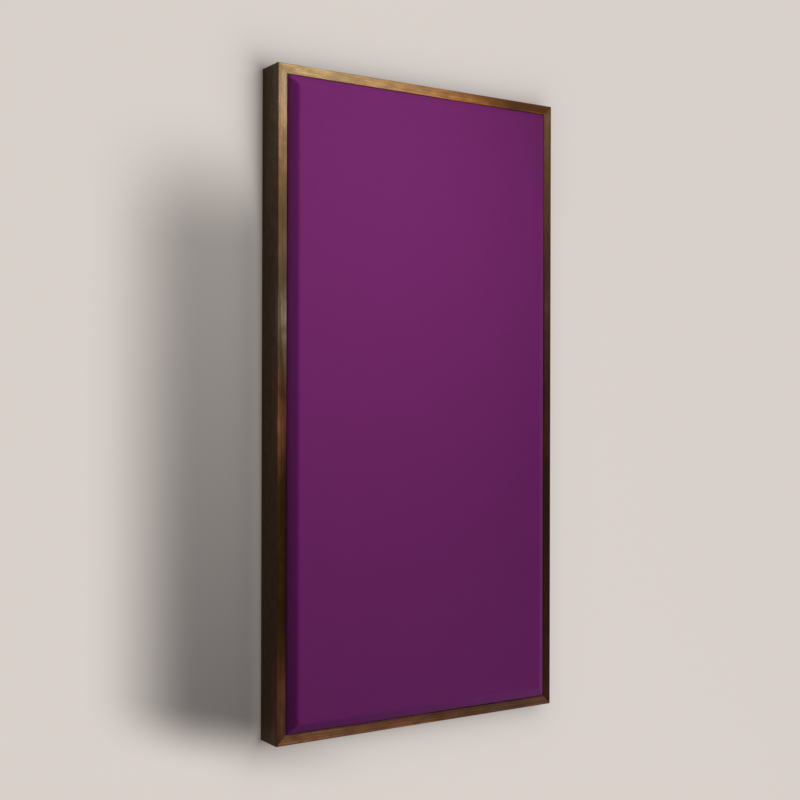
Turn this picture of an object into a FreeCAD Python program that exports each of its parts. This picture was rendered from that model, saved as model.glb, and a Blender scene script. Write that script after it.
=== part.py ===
# Fabric acoustic wall panel: a fabric-covered fibre board in a mitred hardwood frame.
# Lengths are in millimetres. The panel lies on its back: +X runs across its width, +Y along
# its length towards the top rail, and +Z comes out of the fabric face. The origin is the
# middle of the back, on the surface that the frame lies on.

import FreeCAD
import Part
import math
import os

# Frame: the clear opening between the bars, and the section of the stock
opening_width = 609.6
opening_length = 1219.2
bar_face = 19.05
bar_depth = 63.5
bar_edge_radius = 1.2

# Covered board: its thickness over the fabric, and how it sits in the frame
board_thickness = 50.8
board_proud = 12.7
board_gap = 0.6

# Bevel round the covered board's face, with its foot just below the frame's front
bevel_width = 18.0
bevel_foot_drop = 0.8
face_edge_radius = 12.0
side_edge_radius = 2.5

# Fabric: its thickness, and how far it is turned onto the back of the board
fabric_thickness = 1.0
fabric_turn = 40.0

# Cleats behind the board, clear of the wall by a little
cleat_width = 19.05
cleat_setback = 3.0

# Places that follow from the sizes
frame_width = opening_width + 2 * bar_face
frame_length = opening_length + 2 * bar_face
board_front = bar_depth + board_proud
board_back = board_front - board_thickness
cleat_depth = board_back - cleat_setback
bevel_height = board_proud + bevel_foot_drop

tolerance = 0.01
up = FreeCAD.Vector(0, 0, 1)
centre = FreeCAD.Vector(0, 0, 0)


def turned(shape, degrees):
    """A copy of the shape, turned about the panel's upright axis through the origin."""
    copy = shape.copy()
    copy.rotate(centre, up, degrees)
    return copy


def block(width, length, low, high):
    """A plain block centred on the origin in plan."""
    corner = FreeCAD.Vector(-width / 2, -length / 2, low)
    return Part.makeBox(width, length, high - low, corner)


def bevelled_prism(size, reach, inset):
    """A prism along Y, with the covered board's bevelled profile across X.

    size is the board's size across X, and reach is the prism's length. The bevel moves square
    to its own slope by inset, so that the space between two such forms is as thick on the bevel
    as it is on the face and the sides.
    """
    slope = math.atan2(bevel_height, bevel_width)
    foot_shift = inset * (1 - math.sin(slope)) / math.cos(slope)
    face_shift = inset * (1 - math.cos(slope)) / math.sin(slope)
    side = size / 2 - board_gap - inset
    face_side = size / 2 - board_gap - bevel_width - face_shift
    back = board_back + inset
    foot = bar_depth - bevel_foot_drop - foot_shift
    front = board_front - inset
    profile = [
        (-side, back),
        (side, back),
        (side, foot),
        (face_side, front),
        (-face_side, front),
        (-side, foot),
        (-side, back),
    ]
    wire = Part.makePolygon([FreeCAD.Vector(x, -reach / 2, z) for x, z in profile])
    return Part.Face(wire).extrude(FreeCAD.Vector(0, reach, 0))


def frame_bar(long_side, reach):
    """One bar of the frame, along X, with its outer face at -reach in Y and its ends mitred.

    long_side is the bar's length over the points of its mitres.
    """
    stock = Part.makeBox(
        long_side, bar_face, bar_depth, FreeCAD.Vector(-long_side / 2, -reach, 0)
    )
    along = [edge for edge in stock.Edges if edge.BoundBox.XLength > long_side / 2]
    stock = stock.makeFillet(bar_edge_radius, along)
    outer, inner = long_side / 2, long_side / 2 - bar_face
    plan = [
        (-outer, -reach),
        (outer, -reach),
        (inner, -reach + bar_face),
        (-inner, -reach + bar_face),
        (-outer, -reach),
    ]
    mitred = Part.Face(Part.makePolygon([FreeCAD.Vector(x, y, 0) for x, y in plan]))
    return stock.common(mitred.extrude(up * bar_depth)).Solids[0]


def covered_form(inset):
    """The covered board's outline, moved inwards by inset on every side."""
    across = bevelled_prism(opening_width, opening_length, inset)
    along = turned(bevelled_prism(opening_length, opening_width, inset), 90)
    form = across.common(along).Solids[0]
    front = form.BoundBox.ZMax
    face_edges = [e for e in form.Edges if e.BoundBox.ZMin > front - tolerance]
    form = form.makeFillet(face_edge_radius - inset, face_edges)
    side_edges = [e for e in form.Edges if e.BoundBox.ZMax < bar_depth]
    return form.makeFillet(side_edge_radius - inset, side_edges).Solids[0]


def fabric_cover():
    """The fabric, stretched over the board and turned onto its back, with the middle left open."""
    margin = 2 * (board_gap + fabric_turn)
    window = block(
        opening_width - margin,
        opening_length - margin,
        board_back - fabric_thickness,
        board_back + 2 * fabric_thickness,
    )
    return covered_form(0).cut(covered_form(fabric_thickness)).cut(window).Solids[0]


def cleat(length, reach):
    """One cleat, along X, that lies against the frame's inner face at -reach in Y."""
    corner = FreeCAD.Vector(-length / 2, -reach, cleat_setback)
    return Part.makeBox(length, cleat_width, cleat_depth, corner)


def main():
    os.makedirs("parts", exist_ok=True)
    rail = frame_bar(frame_width, frame_length / 2)
    stile = frame_bar(frame_length, frame_width / 2)
    side_cleat = cleat(opening_length, opening_width / 2)
    end_cleat = cleat(opening_width - 2 * cleat_width, opening_length / 2)
    pieces = {
        "bottom_rail": rail,
        "right_stile": turned(stile, 90),
        "top_rail": turned(rail, 180),
        "left_stile": turned(stile, 270),
        "acoustic_core": covered_form(fabric_thickness),
        "fabric_cover": fabric_cover(),
        "back_cleat_bottom": end_cleat,
        "back_cleat_right": turned(side_cleat, 90),
        "back_cleat_top": turned(end_cleat, 180),
        "back_cleat_left": turned(side_cleat, 270),
    }
    for node, shape in pieces.items():
        shape.exportStep("parts/" + node + ".step")
        box = shape.BoundBox
        print(node, shape.ShapeType, len(shape.Solids), shape.isValid(),
              round(shape.Volume), round(box.XLength, 2), round(box.YLength, 2), round(box.ZLength, 2))


main()
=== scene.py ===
# Looks of a fabric acoustic wall panel that lies on its back on a pale floor.
# Lengths are in metres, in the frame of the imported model: +X across the panel's width,
# +Y along its length towards the top rail, +Z out of its fabric face, floor at z = 0.

import math

import bpy
from mathutils import Euler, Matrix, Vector, noise


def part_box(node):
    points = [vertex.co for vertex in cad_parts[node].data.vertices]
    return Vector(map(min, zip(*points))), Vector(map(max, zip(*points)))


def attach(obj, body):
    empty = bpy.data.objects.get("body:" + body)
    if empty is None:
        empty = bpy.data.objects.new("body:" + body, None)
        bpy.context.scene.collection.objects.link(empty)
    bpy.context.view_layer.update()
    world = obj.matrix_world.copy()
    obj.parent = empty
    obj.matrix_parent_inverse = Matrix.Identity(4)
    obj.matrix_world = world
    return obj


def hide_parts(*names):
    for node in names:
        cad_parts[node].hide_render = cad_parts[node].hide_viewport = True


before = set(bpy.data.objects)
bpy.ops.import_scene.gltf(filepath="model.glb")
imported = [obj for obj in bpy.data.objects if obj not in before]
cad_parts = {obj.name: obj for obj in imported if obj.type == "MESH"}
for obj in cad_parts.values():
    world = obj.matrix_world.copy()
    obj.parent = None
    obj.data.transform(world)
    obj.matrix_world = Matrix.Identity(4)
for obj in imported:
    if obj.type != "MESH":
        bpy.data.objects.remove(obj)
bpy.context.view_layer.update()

# Photograph: its side in pixels, and the focal length that its perspective gives
photo_side = 800
focal_pixels = 1292.4
sensor_width = 36.0

# Camera, from the same perspective: where it stands, and its turn about Y, X and Z
camera_place = (-1.4316, 0.0015, 2.1709)
camera_turn = math.radians(-33.15)
camera_tip = math.radians(0.07)
camera_roll = math.radians(0.18)

# Places that the model gives
cover_low, cover_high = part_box("fabric_cover")
stile_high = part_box("right_stile")[1]
rail_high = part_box("top_rail")[1]
frame_front = stile_high.z
frame_half_width = stile_high.x
frame_half_length = rail_high.y

# Covered board, as in the model
bevel_width = 0.018
bevel_foot_drop = 0.0008
face_radius = 0.012
side_radius = 0.0025
fabric_thickness = 0.001
fabric_turn = 0.040
bevel_height = cover_high.z - frame_front + bevel_foot_drop

# Meshes: the steps along their section, how far it runs over the face and over the board's
# back, and the spacing of the lines in their middle
arc_steps = 6
longest_step = 0.0028
face_run = 0.030
board_turn = 0.034
fabric_spacing = 0.012
board_spacing = 0.006

# Room between the two meshes: the board's face lies lower, and the cloth's skin is thinner
board_ease = 0.0004
fabric_skin = fabric_thickness * 0.9

# Small irregularities of the cloth's front. A noise is given by its scales along X and Y, and
# by the layer of it that is read
bevel_swell_height = 0.0006
hip_softness = 0.0009
arris_sway = 0.0005
arris_noise = (17, 17, 3.1)
arris_fade = (0.002, 0.008)
face_ripple = 0.00012
face_noise = (9, 6, 7.7)

# Turned cloth on the back: its cut edge, and the corner folds under the long sides
edge_sway = 0.0012
edge_noise = (60, 60, 1.3)
fold_start = 0.0195
fold_height = 0.0008
fold_rise = 0.0015
fold_side_rise = 0.0006
fold_end = (0.012, 0.018)

# Fibre board's back: its matted surface and its few dents
board_roughness = 0.0005
board_noise = (130, 90, 0.4)
board_dent = 0.0012
dent_noise = (9, 9, 5.0)
dent_range = (0.45, 0.75)

# Wood: how deep a patch of other colour goes below a bar's front, and each bar's patches, as
# the middle, the half length, and what is added to the tone in red, green and blue. Most are the
# wood's own paler, darker or redder lengths; the marked ones are painted highlight and shade
patch_depth = 0.016
left_patches_and_highlight = (
    # Painted highlight: a pale greyish gloss at the stile's top end
    (0.58, 0.07, (1.2, 2.9, 7.0)),
    (0.29, 0.05, (1.1, 1.8, 3.2)),
    (0.165, 0.065, (1.85, 3.6, 6.8)),
    (0.06, 0.03, (0.6, 0.9, 1.5)),
    (-0.04, 0.065, (1.6, 1.55, 2.1)),
    (-0.545, 0.075, (2.1, 2.0, 2.6)),
)
right_patches = (
    (0.60, 0.05, (0.1, 0.25, 1.4)),
    (0.38, 0.09, (0.45, 0.5, 0.4)),
    (0.32, 0.25, (0.12, 0.12, 0.9)),
    (0.22, 0.04, (0.25, 0.4, 0.3)),
)
top_patches_and_highlight = (
    # Painted highlight: a pale greyish gloss at the rail's left end
    (-0.25, 0.11, (0.95, 3.3, 6.2)),
    (-0.10, 0.06, (0.7, 0.9, 1.2)),
    (0.10, 0.12, (1.5, 1.0, 0.0)),
    (0.22, 0.035, (-0.45, -0.5, -0.5)),
    (0.30, 0.04, (0.6, 0.4, 0.3)),
)
bottom_patches_and_shade = (
    (-0.22, 0.14, (1.4, 1.6, 2.1)),
    (-0.05, 0.05, (0.9, 0.8, 1.0)),
    # Painted shade: this and the following darker lengths, up to the rail's right end, offset the fill
    # lamp's gloss there
    (0.04, 0.02, (-0.5, -0.8, -0.9)),
    (0.14, 0.06, (-0.55, -0.7, -0.9)),
    (0.23, 0.03, (-0.6, -0.7, -0.8)),
    (0.28, 0.07, (0.0, -0.35, -0.6)),
)

# Light
key_place = (0.43, 0.96, 1.24)
key_target = (-2.00, -1.00, 0.0)
key_size = 0.72
key_spread = math.radians(127)
key_watts = 24.6
key_colour = (1.0, 0.985, 0.94)
fill_place = (1.05, -1.55, 0.56)
fill_target = (-0.36, -0.49, 0.0)
fill_size = 0.8
fill_spread = math.radians(120)
fill_watts = 7.5
fill_colour = (0.96, 0.89, 1.0)
world_strength = 0.115
world_tint = (0.78, 0.91, 1.15)
world_fade = (0.35, 0.70)

# Floor: its own colour, the pale colour that it shows, and how much of that
floor_half = 80.0
floor_colour = (0.100, 0.090, 0.087)
floor_seen = (0.80, 0.73, 0.685)
floor_seen_share = 0.86
floor_spot_share = 0.845
key_spot = (-0.70, 0.50, 0.0)

# Painted shadow beside the panel, taken out of the floor's shown share: its edges, from outer
# to inner, and how deep it is
shadow_left = (-0.685, -0.45)
shadow_right = (-0.05, -0.40)
shadow_top = (0.566, 0.28)
shadow_bottom = (-0.716, -0.586)
shadow_lean = 0.295
shadow_kept = (0.665, 0.86)
shadow_blend = 0.3
# Painted contact shadow round the panel's foot: how far it reaches and how deep it is
contact_shadow_reach = 0.03
contact_shadow_kept = 0.8


# Shader nodes

def new_material(name):
    """An empty node material and its tree."""
    material = bpy.data.materials.new(name)
    material.use_nodes = True
    material.node_tree.nodes.clear()
    return material, material.node_tree


def node(tree, kind, inputs=None, **settings):
    """Adds a shader node. inputs maps socket names or numbers to values or to other sockets."""
    made = tree.nodes.new("ShaderNode" + kind)
    for key, value in settings.items():
        setattr(made, key, value)
    for key, value in (inputs or {}).items():
        if isinstance(value, bpy.types.NodeSocket):
            tree.links.new(value, made.inputs[key])
        else:
            made.inputs[key].default_value = value
    return made


def calc(tree, operation, a, b=0.0, c=0.0):
    """The output of a Math node."""
    return node(tree, "Math", {0: a, 1: b, 2: c}, operation=operation).outputs[0]


def scaled(tree, vector, scale):
    """A vector multiplied by three numbers."""
    made = node(tree, "VectorMath", {0: vector, 1: scale}, operation="MULTIPLY")
    return made.outputs[0]


def noise_value(tree, vector, scale, detail=3.0, roughness=0.5):
    """Fractal noise from 0 to 1 at a vector stretched by three numbers."""
    stretched = scaled(tree, vector, scale)
    inputs = {"Vector": stretched, "Scale": 1.0, "Detail": detail, "Roughness": roughness}
    return node(tree, "TexNoise", inputs).outputs[0]


def spread(tree, value, low, high, to_low=0.0, to_high=1.0, kind="LINEAR"):
    """A value mapped from one range to another, and held at its ends."""
    inputs = {0: value, 1: low, 2: high, 3: to_low, 4: to_high}
    return node(tree, "MapRange", inputs, interpolation_type=kind).outputs[0]


def mixed(tree, factor, a, b, blend="MIX"):
    """Two colours mixed by a factor."""
    made = node(tree, "Mix", {0: factor, 6: a, 7: b}, data_type="RGBA", blend_type=blend)
    return made.outputs[2]


def rgb(r, g, b):
    return (r, g, b, 1.0)


def finish_material(tree, shader):
    node(tree, "OutputMaterial", {"Surface": shader.outputs[0]})


# Wood

def grain_space(tree, along, offset):
    """Object coordinates with the grain's direction last, moved so that each board differs."""
    place = node(tree, "TexCoord").outputs["Object"]
    axes = node(tree, "SeparateXYZ", {0: place}).outputs
    order = {"X": (1, 2, 0), "Y": (0, 2, 1)}[along]
    inputs = {i: calc(tree, "ADD", axes[axis], offset[i]) for i, axis in enumerate(order)}
    return node(tree, "CombineXYZ", inputs).outputs[0]


def mitre_line(tree, half_width):
    """1 on the thin line of each mitre joint, and 0 away from it."""
    place = node(tree, "TexCoord").outputs["Object"]
    axes = node(tree, "SeparateXYZ", {0: place}).outputs
    from_side = calc(tree, "SUBTRACT", calc(tree, "ABSOLUTE", axes[0]), frame_half_width)
    from_end = calc(tree, "SUBTRACT", calc(tree, "ABSOLUTE", axes[1]), frame_half_length)
    apart = calc(tree, "ABSOLUTE", calc(tree, "SUBTRACT", from_side, from_end))
    return spread(tree, apart, half_width * 0.4, half_width * 1.4, 1.0, 0.0)


def wood_rings(tree, space, pith, spacing):
    """Growth rings round a pith that wanders along the board: 0 is early wood and 1 late wood."""
    wander = noise_value(tree, space, (9.0, 9.0, 1.1), 2.0)
    parts = node(tree, "SeparateXYZ", {0: space}).outputs
    u = calc(tree, "ADD", parts[0], pith[0])
    v = calc(tree, "ADD", parts[1], pith[1])
    lean = calc(tree, "MULTIPLY", parts[2], pith[2])
    across = calc(tree, "ADD", u, lean)
    squares = calc(tree, "ADD", calc(tree, "MULTIPLY", across, across), calc(tree, "MULTIPLY", v, v))
    radius = calc(tree, "SQRT", squares)
    radius = calc(tree, "MULTIPLY_ADD", wander, 0.012, radius)
    uneven = noise_value(tree, space, (40.0, 40.0, 0.5), 1.0)
    phase = calc(tree, "MULTIPLY_ADD", uneven, 0.9, calc(tree, "DIVIDE", radius, spacing))
    return calc(tree, "FRACT", phase)


def board_tone(tree, along, tone, patches):
    """The colour that multiplies a board's own: its tone, and a soft swell for each patch.

    The patches lie in the board's front and fade with depth.
    """
    place = node(tree, "TexCoord").outputs["Object"]
    axes = node(tree, "SeparateXYZ", {0: place}).outputs
    depth = calc(tree, "DIVIDE", calc(tree, "SUBTRACT", axes["Z"], frame_front), patch_depth)
    deep = calc(tree, "MULTIPLY", depth, depth)
    colour = (tone, tone, tone)
    for middle, half_length, change in patches:
        apart = calc(tree, "DIVIDE", calc(tree, "SUBTRACT", axes[along], middle), half_length)
        fading = calc(tree, "MULTIPLY_ADD", apart, apart, deep)
        swell = calc(tree, "EXPONENT", calc(tree, "MULTIPLY", fading, -1.0))
        grey = node(tree, "CombineXYZ", {i: swell for i in range(3)}).outputs[0]
        inputs = {0: grey, 1: change, 2: colour}
        colour = node(tree, "VectorMath", inputs, operation="MULTIPLY_ADD").outputs[0]
    return colour


def walnut(name, along, offset, tone, gloss, patches=()):
    """Oiled walnut with its grain along one axis. tone lightens or darkens the board, and gloss
    says how strongly its oil shines.

    Each patch is a paler, darker or redder length of the board: its middle, its half length
    and what it adds to the tone in red, green and blue. A few patches are painted highlight and
    painted shade, not the wood's own colour.
    """
    material, tree = new_material(name)
    space = grain_space(tree, along, offset)
    ring = wood_rings(tree, space, (0.045, 0.030, 0.012), 0.0052)
    late = spread(tree, ring, 0.25, 0.88)
    edge = spread(tree, ring, 0.88, 1.0, 1.0, 0.0)
    late = calc(tree, "MULTIPLY", late, edge)
    broad = noise_value(tree, space, (55.0, 55.0, 3.2), 3.0)
    figure = noise_value(tree, space, (75.0, 75.0, 40.0), 4.0, 0.6)
    streak = noise_value(tree, space, (420.0, 420.0, 5.0), 3.0, 0.6)
    fibre = noise_value(tree, space, (1500.0, 1500.0, 18.0), 2.0, 0.6)
    pore = spread(tree, noise_value(tree, space, (2300.0, 2300.0, 45.0), 1.0), 0.62, 0.72)
    dark = rgb(0.018, 0.0070, 0.0030)
    middle = rgb(0.062, 0.0235, 0.0086)
    light = rgb(0.160, 0.063, 0.022)
    colour = mixed(tree, spread(tree, broad, 0.36, 0.64), middle, light)
    colour = mixed(tree, spread(tree, figure, 0.42, 0.64, 0.0, 0.50), colour, dark)
    colour = mixed(tree, spread(tree, streak, 0.44, 0.66, 0.0, 0.60), colour, dark)
    colour = mixed(tree, calc(tree, "MULTIPLY", late, 0.62), colour, dark)
    colour = mixed(tree, spread(tree, fibre, 0.35, 0.75, 0.0, 0.30), colour, dark)
    colour = mixed(tree, calc(tree, "MULTIPLY", pore, 0.6), colour, rgb(0.008, 0.004, 0.002))
    lightness = board_tone(tree, along, tone, patches)
    colour = node(tree, "VectorMath", {0: colour, 1: lightness}, operation="MULTIPLY").outputs[0]
    joint = mitre_line(tree, 0.00035)
    colour = mixed(tree, calc(tree, "MULTIPLY", joint, 0.75), colour, rgb(0.006, 0.003, 0.002))
    roughness = calc(tree, "MULTIPLY_ADD", fibre, 0.14, 0.31)
    roughness = calc(tree, "MULTIPLY_ADD", spread(tree, figure, 0.38, 0.62), 0.09, roughness)
    roughness = calc(tree, "MULTIPLY_ADD", pore, 0.25, roughness)
    relief = calc(tree, "MULTIPLY_ADD", pore, -0.8, calc(tree, "MULTIPLY", fibre, 0.6))
    relief = calc(tree, "MULTIPLY_ADD", joint, -1.5, relief)
    wave = node(tree, "Bump", {"Strength": 0.6, "Distance": 0.0003, "Height": figure}).outputs[0]
    inputs = {"Strength": 0.35, "Distance": 0.00012, "Height": relief, "Normal": wave}
    bump = node(tree, "Bump", inputs).outputs[0]
    direction = {"X": (1.0, 0.0, 0.0), "Y": (0.0, 1.0, 0.0)}[along]
    normal = node(tree, "NewGeometry").outputs["Normal"]
    across = node(tree, "VectorMath", {0: normal, 1: direction}, operation="CROSS_PRODUCT").outputs[0]
    shader = node(tree, "BsdfPrincipled", {
        "Base Color": colour,
        "Roughness": roughness,
        "Normal": bump,
        "Tangent": across,
        "Anisotropic": 0.84,
        "Specular IOR Level": gloss,
        "Specular Tint": rgb(1.0, 0.52, 0.10),
        "Coat Weight": 0.045,
        "Coat Roughness": 0.20,
        "Coat IOR": 1.5,
    })
    finish_material(tree, shader)
    return material


def softwood(name, along, offset):
    """Planed softwood, unfinished, with wide soft rings."""
    material, tree = new_material(name)
    space = grain_space(tree, along, offset)
    ring = wood_rings(tree, space, (0.060, 0.015, 0.010), 0.0034)
    late = spread(tree, ring, 0.45, 0.92)
    late = calc(tree, "MULTIPLY", late, spread(tree, ring, 0.92, 1.0, 1.0, 0.0))
    streak = noise_value(tree, space, (200.0, 200.0, 4.0), 3.0)
    fibre = noise_value(tree, space, (1700.0, 1700.0, 25.0), 2.0)
    colour = mixed(tree, spread(tree, streak, 0.3, 0.7), rgb(0.60, 0.40, 0.21), rgb(0.52, 0.32, 0.15))
    colour = mixed(tree, calc(tree, "MULTIPLY", late, 0.6), colour, rgb(0.40, 0.20, 0.075))
    colour = mixed(tree, spread(tree, fibre, 0.4, 0.8, 0.0, 0.3), colour, rgb(0.34, 0.19, 0.08))
    relief = calc(tree, "MULTIPLY_ADD", late, 0.4, calc(tree, "MULTIPLY", fibre, 0.8))
    bump = node(tree, "Bump", {"Strength": 0.4, "Distance": 0.0002, "Height": relief}).outputs[0]
    shader = node(tree, "BsdfPrincipled", {
        "Base Color": colour,
        "Roughness": spread(tree, fibre, 0.2, 0.8, 0.55, 0.75),
        "Normal": bump,
    })
    finish_material(tree, shader)
    return material


# Fabric and board

def woven_fabric():
    """Plum upholstery cloth in a fine plain weave, drawn in the flat cut's own coordinates."""
    material, tree = new_material("plum_fabric")
    yarn = 0.0009
    cloth = node(tree, "Attribute", attribute_name="cloth").outputs["Vector"]
    axes = node(tree, "SeparateXYZ", {0: scaled(tree, cloth, (1 / yarn, 1 / yarn, 1.0))}).outputs
    warp_wave = calc(tree, "ABSOLUTE", calc(tree, "SINE", calc(tree, "MULTIPLY", axes[0], math.pi)))
    weft_wave = calc(tree, "ABSOLUTE", calc(tree, "SINE", calc(tree, "MULTIPLY", axes[1], math.pi)))
    column = calc(tree, "FLOOR", axes[0])
    row = calc(tree, "FLOOR", axes[1])
    over = calc(tree, "PINGPONG", calc(tree, "ADD", column, row), 1.0)
    height = calc(tree, "MULTIPLY", warp_wave, over)
    under = calc(tree, "SUBTRACT", 1.0, over)
    height = calc(tree, "MULTIPLY_ADD", weft_wave, under, height)
    cell = node(tree, "CombineXYZ", {0: column, 1: row}).outputs[0]
    speckle = node(tree, "TexWhiteNoise", {"Vector": cell}).outputs[0]
    slub = noise_value(tree, cloth, (700.0, 60.0, 1.0), 2.0)
    cloud = noise_value(tree, cloth, (14.0, 14.0, 1.0), 3.0)
    colour = mixed(tree, speckle, rgb(0.122, 0.0116, 0.101), rgb(0.141, 0.0142, 0.117))
    colour = mixed(tree, spread(tree, slub, 0.35, 0.7, 0.0, 0.30), colour, rgb(0.105, 0.0095, 0.088))
    colour = mixed(tree, spread(tree, cloud, 0.3, 0.7, 0.0, 0.18), colour, rgb(0.143, 0.0142, 0.115))
    # Painted shade: the weave's low places, between the yarns, are darkened
    colour = mixed(tree, spread(tree, height, 0.0, 0.5, 0.40, 0.0), colour, rgb(0.060, 0.0060, 0.050))
    bump = node(tree, "Bump", {"Strength": 0.45, "Distance": 0.00018, "Height": height}).outputs[0]
    shader = node(tree, "BsdfPrincipled", {
        "Base Color": colour,
        "Roughness": 0.82,
        "Normal": bump,
        "Specular IOR Level": 0.10,
        "Sheen Weight": 0.03,
        "Sheen Roughness": 0.35,
        "Sheen Tint": rgb(1.0, 0.85, 0.95),
    })
    finish_material(tree, shader)
    return material


def fibre_board():
    """Rigid glass-fibre board: matted ochre fibres in layers."""
    material, tree = new_material("fibre_board")
    place = node(tree, "TexCoord").outputs["Object"]
    matted = noise_value(tree, place, (420.0, 160.0, 420.0), 5.0, 0.65)
    strands = noise_value(tree, place, (130.0, 1600.0, 700.0), 3.0, 0.6)
    crossing = noise_value(tree, place, (1500.0, 120.0, 700.0), 3.0, 0.6)
    clouds = noise_value(tree, place, (11.0, 9.0, 11.0), 3.0)
    colour = mixed(tree, spread(tree, matted, 0.3, 0.7), rgb(0.43, 0.31, 0.105), rgb(0.62, 0.49, 0.20))
    colour = mixed(tree, spread(tree, clouds, 0.3, 0.7, 0.0, 0.35), colour, rgb(0.46, 0.36, 0.16))
    colour = mixed(tree, spread(tree, strands, 0.55, 0.75, 0.0, 0.5), colour, rgb(0.72, 0.62, 0.34))
    colour = mixed(tree, spread(tree, crossing, 0.55, 0.75, 0.0, 0.4), colour, rgb(0.30, 0.21, 0.07))
    fibres = calc(tree, "ADD", strands, crossing)
    relief = calc(tree, "ADD", matted, calc(tree, "MULTIPLY", fibres, 0.5))
    bump = node(tree, "Bump", {"Strength": 0.7, "Distance": 0.0008, "Height": relief}).outputs[0]
    shader = node(tree, "BsdfPrincipled", {"Base Color": colour, "Roughness": 0.92, "Normal": bump})
    finish_material(tree, shader)
    return material


# Covered board's mesh

def rounded_path(corners, radii):
    """A polyline through corners in two dimensions, with each inner corner made an arc."""
    path = [Vector(corners[0])]
    for i, radius in enumerate(radii, 1):
        before = (Vector(corners[i - 1]) - Vector(corners[i])).normalized()
        after = (Vector(corners[i + 1]) - Vector(corners[i])).normalized()
        half = before.angle(after) / 2
        middle = (before + after).normalized()
        hub = Vector(corners[i]) + middle * (radius / math.sin(half))
        start = Vector(corners[i]) + before * (radius / math.tan(half)) - hub
        end = Vector(corners[i]) + after * (radius / math.tan(half)) - hub
        sweep = start.angle(end)
        for step in range(arc_steps + 1):
            share = step / arc_steps
            a, b = math.sin((1 - share) * sweep), math.sin(share * sweep)
            path.append(hub + (start * a + end * b) / math.sin(sweep))
    path.append(Vector(corners[-1]))
    return path


def filled_path(path):
    """The polyline with points added, so that no run is longer than the longest step."""
    filled = [path[0]]
    for a, b in zip(path, path[1:]):
        pieces = max(1, math.ceil((b - a).length / longest_step))
        filled += [a.lerp(b, step / pieces) for step in range(1, pieces + 1)]
    return filled


def path_lengths(path):
    """The length along the polyline at each of its points."""
    total, lengths = 0.0, [0.0]
    for a, b in zip(path, path[1:]):
        total += (b - a).length
        lengths.append(total)
    return lengths


class BoardGrid:
    """The plan of the covered board as crossing lines, close together near its sides.

    A line number counts from one side to the other. Near each side the lines lie at the
    profile's own distances in from it, and between them they are evenly spaced.
    """

    def __init__(self, half_width, half_length, distances, spacing):
        self.half = (half_width, half_length)
        self.near = distances
        self.spacing = spacing
        self.count = tuple(self._line_count(half) for half in self.half)

    def _line_count(self, half):
        middle = 2 * (half - self.near[-1])
        return 2 * len(self.near) + math.ceil(middle / self.spacing) - 1

    def steps_in(self, axis, line):
        """How many lines in from the nearer side a line is."""
        return min(line, self.count[axis] - 1 - line)

    def offset(self, axis, line):
        """How far in from the nearer side a near line is, or None for one in the middle."""
        steps = self.steps_in(axis, line)
        return self.near[steps] if steps < len(self.near) else None

    def place(self, axis, line, inset):
        """Where a line lies when the whole outline is moved in by inset."""
        side = self.half[axis] - inset
        offset = self.offset(axis, line)
        sign = -1 if line < self.count[axis] / 2 else 1
        if offset is not None:
            return sign * (side - offset)
        last = self.count[axis] - 1
        share = (line - len(self.near) + 1) / (last - 2 * (len(self.near) - 1))
        return (2 * share - 1) * (side - self.near[-1])

    def point(self, i, j, inset, radius):
        """Where two lines cross, with the outline's corners rounded to radius."""
        x, y = self.place(0, i, inset), self.place(1, j, inset)
        across, along = self.offset(0, i), self.offset(1, j)
        if across is None or along is None or max(across, along) >= radius:
            return x, y
        blend = max(0.0, 1 - inset / radius)
        a, b = 1 - across / radius, 1 - along / radius
        pull_x = blend * radius * a * (1 - math.sqrt(1 - b * b / 2))
        pull_y = blend * radius * b * (1 - math.sqrt(1 - a * a / 2))
        return x - math.copysign(pull_x, x), y - math.copysign(pull_y, y)

    def rim(self):
        """The crossings round the outline, anticlockwise, each with the side that follows it."""
        right, top = self.count[0] - 1, self.count[1] - 1
        lower = [(i, 0, "bottom") for i in range(right)]
        rising = [(right, j, "right") for j in range(top)]
        upper = [(i, top, "top") for i in range(right, 0, -1)]
        falling = [(0, j, "left") for j in range(top, 0, -1)]
        return lower + rising + upper + falling


def height_over(front, distance):
    """The height of the profile at a distance in from the side."""
    if distance <= 0:
        return front[0].y
    for a, b in zip(front, front[1:]):
        if distance <= b.x:
            return a.y + (b.y - a.y) * (distance - a.x) / (b.x - a.x)
    return front[-1].y


def soft_least(a, b, softness):
    """The smaller of two distances, with the change from one to the other rounded off."""
    least, most = min(a, b), max(a, b)
    return least - softness * math.log1p(math.exp((least - most) / softness))


def smooth_step(value, low, high):
    """0 below low, 1 above high, and a smooth rise between them."""
    share = min(1.0, max(0.0, (value - low) / (high - low)))
    return share * share * (3 - 2 * share)


def noise_place(x, y, pattern):
    """Where a noise is read for a place in plan."""
    return (x * pattern[0], y * pattern[1], pattern[2])


def bevel_swell(point):
    """How far the cloth over the bevel stands above its straight line, most near the foot."""
    share = point.x / bevel_width
    if point.y < frame_front - side_radius or not 0 < share < 1:
        return 0.0
    greatest = 4 / 27
    return bevel_swell_height / greatest * share * (1 - share) ** 2


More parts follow.
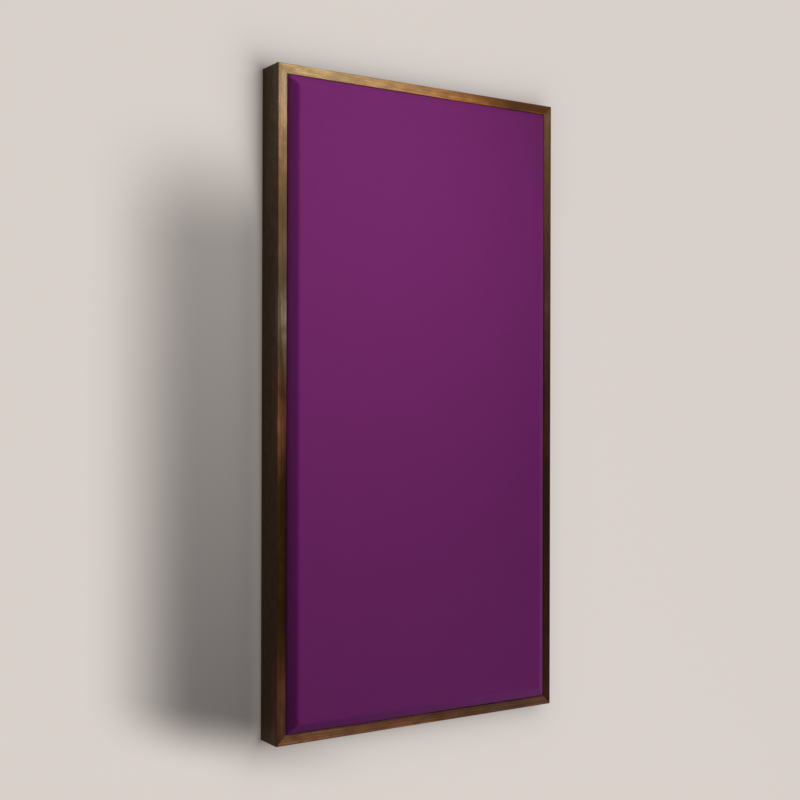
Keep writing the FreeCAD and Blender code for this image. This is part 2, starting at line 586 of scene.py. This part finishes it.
def covered_board_path(inset, turn):
    """The section from the back, round the side and over the bevel, as (distance in, height).

    inset moves it in from the fabric's outside, and turn is how far it runs over the back.
    """
    slope = math.atan2(bevel_height, bevel_width)
    foot_shift = inset * (1 - math.sin(slope)) / math.cos(slope)
    face_shift = inset * (1 - math.cos(slope)) / math.sin(slope)
    back = cover_low.z + inset
    foot = frame_front - bevel_foot_drop - foot_shift
    face = cover_high.z - inset
    bevel_end = bevel_width - inset + face_shift
    corners = [(turn, back), (0, back), (0, foot), (bevel_end, face), (bevel_end + face_run, face)]
    radii = [side_radius - inset, side_radius - inset, face_radius - inset]
    path = filled_path(rounded_path(corners, radii))
    return [Vector((point.x, point.y + bevel_swell(point))) for point in path]


def split_path(path):
    """The path's two parts: from the side's top edge over the face, and from there to the back."""
    top = max(k for k, point in enumerate(path) if point.x < 1e-7)
    return path[top:], path[top::-1]


def build_mesh(name, vertices, faces, cloth=None):
    """A mesh object, smooth, with the cloth's flat coordinates on its face corners if given."""
    mesh = bpy.data.meshes.new(name)
    mesh.from_pydata(vertices, [], faces)
    if cloth:
        attribute = mesh.attributes.new("cloth", "FLOAT_VECTOR", "CORNER")
        attribute.data.foreach_set("vector", [value for corner in cloth for value in corner])
    mesh.polygons.foreach_set("use_smooth", [True] * len(faces))
    mesh.update()
    made = bpy.data.objects.new(name, mesh)
    bpy.context.scene.collection.objects.link(made)
    return made


def fabric_lift(side, grid, i, j, inset):
    """How far the turned fabric stands off the board's back where one fold lies on another."""
    if side not in ("left", "right") or inset < fold_start:
        return 0.0
    offset = grid.offset(1, j)
    if offset is None:
        return 0.0
    fold = smooth_step(offset, 0.0, fold_side_rise) * (1 - smooth_step(offset, *fold_end))
    return fold_height * fold * smooth_step(inset, fold_start, fold_start + fold_rise)


def fabric_piece():
    """The fabric, stretched over the board and turned onto its back."""
    path = covered_board_path(0.0, fabric_turn)
    front, skirt = split_path(path)
    half_width, half_length = cover_high.x, cover_high.y
    grid = BoardGrid(half_width, half_length, [point.x for point in front], fabric_spacing)
    front_lengths, skirt_lengths = path_lengths(front), path_lengths(skirt)

    def cloth_line(axis, line):
        """The flat cut's coordinate of a line, from the middle of the cut."""
        middle = grid.half[axis] - front[-1].x
        steps = grid.steps_in(axis, line)
        if steps >= len(front):
            return grid.place(axis, line, 0.0)
        reach = middle + front_lengths[-1] - front_lengths[steps]
        return math.copysign(reach, grid.place(axis, line, 0.0))

    vertices, index = [], {}
    for i in range(grid.count[0]):
        for j in range(grid.count[1]):
            x, y = grid.point(i, j, 0.0, side_radius)
            from_sides = (half_width - abs(x), half_length - abs(y))
            distance = soft_least(*from_sides, hip_softness)
            sway = noise.noise(noise_place(x, y, arris_noise)) * arris_sway
            inner = smooth_step(distance, 0.0, bevel_width)
            height = height_over(front, distance + sway * smooth_step(distance, *arris_fade))
            ripple = noise.fractal(noise_place(x, y, face_noise), 1.0, 2.0, 3)
            ripple = ripple * face_ripple * inner
            index[i, j] = len(vertices)
            vertices.append((x, y, height + ripple - face_ripple * inner))
    faces, cloth = [], []
    for i in range(grid.count[0] - 1):
        for j in range(grid.count[1] - 1):
            corners = [(i, j), (i + 1, j), (i + 1, j + 1), (i, j + 1)]
            faces.append([index[c] for c in corners])
            cloth += [(cloth_line(0, a), cloth_line(1, b), 0.0) for a, b in corners]
    rim = grid.rim()
    previous = [index[i, j] for i, j, side in rim]
    for k in range(1, len(skirt)):
        inset, height = skirt[k]
        loop = []
        for i, j, side in rim:
            frayed = inset
            x, y = grid.point(i, j, inset, side_radius)
            if k == len(skirt) - 1:
                frayed += noise.noise(noise_place(x, y, edge_noise)) * edge_sway
                x, y = grid.point(i, j, frayed, side_radius)
            lift = fabric_lift(side, grid, i, j, inset)
            loop.append(len(vertices))
            vertices.append((x, y, height - lift))
        for n, (i, j, side) in enumerate(rim):
            after = (n + 1) % len(rim)
            faces.append([previous[after], previous[n], loop[n], loop[after]])
            next_end = rim[after][:2]
            above, below = skirt_lengths[k - 1], skirt_lengths[k]
            corners = [(next_end, above), ((i, j), above), ((i, j), below), (next_end, below)]
            for (a, b), down in corners:
                u, v = cloth_line(0, a), cloth_line(1, b)
                if side in ("bottom", "top"):
                    v += math.copysign(down, v)
                else:
                    u += math.copysign(down, u)
                cloth.append((u, v, 0.0))
        previous = loop
    piece = build_mesh("fabric", vertices, faces, cloth)
    thicken = piece.modifiers.new("thickness", "SOLIDIFY")
    thicken.thickness = fabric_skin
    thicken.offset = -1.0
    piece.data.materials.append(woven_fabric())
    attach(piece, "root")
    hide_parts("fabric_cover")
    return piece


def board_piece():
    """The fibre board under the fabric, with its back's matted surface in view."""
    path = covered_board_path(fabric_thickness, board_turn)
    front, skirt = split_path(path)
    half_width, half_length = cover_high.x - fabric_thickness, cover_high.y - fabric_thickness
    grid = BoardGrid(half_width, half_length, [point.x for point in front], board_spacing)
    radius = side_radius - fabric_thickness
    vertices, index, faces = [], {}, []
    for i in range(grid.count[0]):
        for j in range(grid.count[1]):
            x, y = grid.point(i, j, 0.0, radius)
            distance = soft_least(half_width - abs(x), half_length - abs(y), hip_softness)
            index[i, j] = len(vertices)
            vertices.append((x, y, height_over(front, distance) - board_ease))
    for i in range(grid.count[0] - 1):
        for j in range(grid.count[1] - 1):
            faces.append([index[i, j], index[i + 1, j], index[i + 1, j + 1], index[i, j + 1]])
    rim = grid.rim()
    previous = [index[i, j] for i, j, side in rim]
    for inset, height in skirt[1:]:
        loop = []
        for i, j, side in rim:
            loop.append(len(vertices))
            vertices.append((*grid.point(i, j, inset, radius), height))
        for n in range(len(rim)):
            after = (n + 1) % len(rim)
            faces.append([previous[after], previous[n], loop[n], loop[after]])
        previous = loop
    under = {(i, j): number for (i, j, side), number in zip(rim, previous)}
    inset, height = skirt[-1]
    for i in range(1, grid.count[0] - 1):
        for j in range(1, grid.count[1] - 1):
            x, y = grid.point(i, j, inset, radius)
            rough = noise.fractal(noise_place(x, y, board_noise), 1.0, 2.0, 4) * board_roughness
            dent = noise.noise(noise_place(x, y, dent_noise))
            dent = smooth_step(dent, *dent_range) * board_dent
            edge = smooth_step(min(grid.steps_in(0, i), grid.steps_in(1, j)), 0, 4)
            under[i, j] = len(vertices)
            vertices.append((x, y, height + edge * (board_roughness + rough + dent)))
    for i in range(grid.count[0] - 1):
        for j in range(grid.count[1] - 1):
            faces.append([under[i, j], under[i, j + 1], under[i + 1, j + 1], under[i + 1, j]])
    piece = build_mesh("board", vertices, faces)
    piece.data.materials.append(fibre_board())
    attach(piece, "root")
    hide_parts("acoustic_core")
    return piece


# Stage, lights and camera

def seen_ray(tree):
    """1 for the rays that show a thing directly, in gloss or through glass, and 0 for the rest."""
    path = node(tree, "LightPath").outputs
    seen = calc(tree, "MAXIMUM", path["Is Camera Ray"], path["Is Glossy Ray"])
    return calc(tree, "MAXIMUM", seen, path["Is Transmission Ray"])


def out_of_painted_shadow(tree, place):
    """1 over most of the floor, and less on the panel's shaded side, where its shadow is painted.

    The painted shadow fades in smoothly at each of its four edges, from the edge's outer place to
    its inner one. It deepens towards the bottom rail, and its lower edge leans.
    """
    axes = node(tree, "SeparateXYZ", {0: place}).outputs
    beside = calc(tree, "ADD", axes["X"], frame_half_width)
    leaning = calc(tree, "MULTIPLY_ADD", beside, shadow_lean, axes["Y"])
    dimming = spread(tree, axes["Y"], shadow_top[1], shadow_bottom[1], *shadow_kept)
    edges = (
        (axes["X"], shadow_left),
        (axes["X"], shadow_right),
        (axes["Y"], shadow_top),
        (leaning, shadow_bottom),
    )
    for coordinate, (outer, inner) in edges:
        inside = spread(tree, coordinate, outer, inner, kind="SMOOTHSTEP")
        dimming = calc(tree, "MULTIPLY", dimming, inside)
    return calc(tree, "SUBTRACT", 1.0, dimming)


def out_of_painted_contact_shadow(tree, place):
    """1 away from the panel, and less close to its foot on every side, in a painted contact shadow."""
    axes = node(tree, "SeparateXYZ", {0: place}).outputs
    halves = (frame_half_width, frame_half_length)
    beyond = [calc(tree, "SUBTRACT", calc(tree, "ABSOLUTE", axes[i]), halves[i]) for i in range(2)]
    inputs = {i: calc(tree, "MAXIMUM", beyond[i], 0.0) for i in range(2)}
    gap = node(tree, "CombineXYZ", inputs).outputs[0]
    gap = node(tree, "VectorMath", {0: gap}, operation="LENGTH").outputs["Value"]
    dimming = calc(tree, "EXPONENT", calc(tree, "DIVIDE", gap, -contact_shadow_reach))
    return calc(tree, "MULTIPLY_ADD", dimming, -contact_shadow_kept, 1.0)


def floor_piece():
    """A wide pale floor. Most of its paleness is its own, and the painted shadows are taken out of
    that.
    """
    half = floor_half
    corners = [(-half, -half, 0), (half, -half, 0), (half, half, 0), (-half, half, 0)]
    floor = build_mesh("floor", corners, [(0, 1, 2, 3)])
    material, tree = new_material("floor")
    diffuse = node(tree, "BsdfDiffuse", {"Color": rgb(*floor_colour)})
    seen = node(tree, "Emission", {"Color": rgb(*floor_seen), "Strength": 1.0})
    place = node(tree, "TexCoord").outputs["Object"]
    apart = node(tree, "VectorMath", {0: place, 1: key_spot}, operation="DISTANCE").outputs["Value"]
    square = calc(tree, "MULTIPLY", apart, apart)
    near = calc(tree, "EXPONENT", calc(tree, "MULTIPLY", square, -1.0))
    share = calc(tree, "MULTIPLY_ADD", near, floor_spot_share - floor_seen_share, floor_seen_share)
    # Painted shadows: less of the pale share shows beside the panel and round its foot
    outside_painted_shadow, clear = out_of_painted_shadow(tree, place), out_of_painted_contact_shadow(tree, place)
    shown = calc(tree, "SMOOTH_MIN", outside_painted_shadow, clear, shadow_blend)
    shown = calc(tree, "DIVIDE", shown, 1 - shadow_blend / 6)
    share = calc(tree, "MULTIPLY", share, shown)
    share = calc(tree, "MULTIPLY", share, seen_ray(tree))
    shader = node(tree, "MixShader", {0: share, 1: diffuse.outputs[0], 2: seen.outputs[0]})
    finish_material(tree, shader)
    floor.data.materials.append(material)


def area_light(name, place, target, size, spread_angle, watts, colour):
    """A square soft light that faces a target."""
    data = bpy.data.lights.new(name, "AREA")
    data.size = size
    data.spread = spread_angle
    data.energy = watts
    data.color = colour
    lamp = bpy.data.objects.new(name, data)
    bpy.context.scene.collection.objects.link(lamp)
    lamp.location = place
    lamp.visible_camera = False
    lamp.rotation_euler = (Vector(place) - Vector(target)).to_track_quat("Z", "Y").to_euler()


def world_light():
    """An even, dim, slightly cool light. Seen directly it is as pale as the floor low down."""
    world = bpy.data.worlds.new("world")
    world.use_nodes = True
    bpy.context.scene.world = world
    tree = world.node_tree
    tree.nodes.clear()
    lighting = rgb(*(world_strength * c for c in world_tint))
    upward = node(tree, "SeparateXYZ", {0: node(tree, "TexCoord").outputs["Generated"]}).outputs[2]
    pale = rgb(*(floor_seen_share * c for c in floor_seen))
    seen = mixed(tree, spread(tree, upward, *world_fade), pale, lighting)
    colour = mixed(tree, seen_ray(tree), lighting, seen)
    background = node(tree, "Background", {"Color": colour, "Strength": 1.0})
    node(tree, "OutputWorld", {"Surface": background.outputs[0]})


def main_camera():
    """A camera where the photograph was taken from."""
    data = bpy.data.cameras.new("camera")
    data.sensor_width = sensor_width
    data.lens = focal_pixels / photo_side * sensor_width
    camera = bpy.data.objects.new("camera", data)
    bpy.context.scene.collection.objects.link(camera)
    camera.location = camera_place
    camera.rotation_euler = Euler((camera_tip, camera_turn, camera_roll), "XYZ")
    bpy.context.scene.camera = camera


def dress(node_name, material):
    """Gives a node of the model its material."""
    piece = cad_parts[node_name]
    piece.data.materials.clear()
    piece.data.materials.append(material)


# The whole scene

main_camera()
world_light()
area_light("key", key_place, key_target, key_size, key_spread, key_watts, key_colour)
area_light("fill", fill_place, fill_target, fill_size, fill_spread, fill_watts, fill_colour)
floor_piece()
dress("left_stile", walnut("walnut_left", "Y", (0.31, 0.12, 0.45), 0.30, 0.56, left_patches_and_highlight))
dress("right_stile", walnut("walnut_right", "Y", (0.83, 0.27, 1.91), 0.36, 0.50, right_patches))
dress("top_rail", walnut("walnut_top", "X", (1.37, 0.41, 3.20), 1.0, 0.56, top_patches_and_highlight))
dress("bottom_rail", walnut("walnut_bottom", "X", (2.11, 0.66, 5.70), 1.3, 0.20, bottom_patches_and_shade))
dress("back_cleat_left", softwood("softwood_left", "Y", (0.2, 0.1, 0.3)))
dress("back_cleat_right", softwood("softwood_right", "Y", (0.9, 0.4, 1.3)))
dress("back_cleat_top", softwood("softwood_top", "X", (1.6, 0.7, 2.3)))
dress("back_cleat_bottom", softwood("softwood_bottom", "X", (2.3, 1.0, 3.3)))
fabric_piece()
board_piece()

bpy.context.scene.view_settings.view_transform = "Standard"
